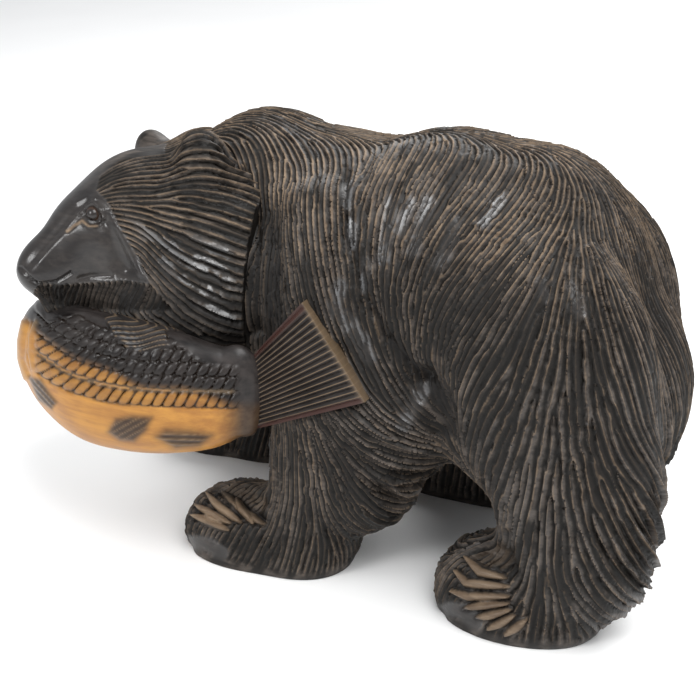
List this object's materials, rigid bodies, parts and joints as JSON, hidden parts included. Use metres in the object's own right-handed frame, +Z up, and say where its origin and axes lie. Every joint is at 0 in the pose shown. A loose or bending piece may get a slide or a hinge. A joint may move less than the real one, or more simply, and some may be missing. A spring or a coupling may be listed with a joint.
{
  "type": "carved wooden bear with salmon",
  "caption": "Walking bear with a salmon across its jaws, carved from one block of dark stained wood with gouged fur, standing on four flat soles.",
  "frame": {"origin": "on the floor between the four soles, at the middle of the figure's length and width", "axes": "the bear walks towards -X, its left side is -Y and its head turns that way, +Z is up"},
  "size_m": [0.5063, 0.2817, 0.3125],
  "materials": {
    "stained_wood": "dark brown-black stained and waxed wood, gouged fur with ridges worn to tan, glossy lacquer on the face, and an amber-stained belly on the fish"
  },
  "bodies": {
    "root": {"carved_bear": "stained_wood"}
  },
  "joints": []
}
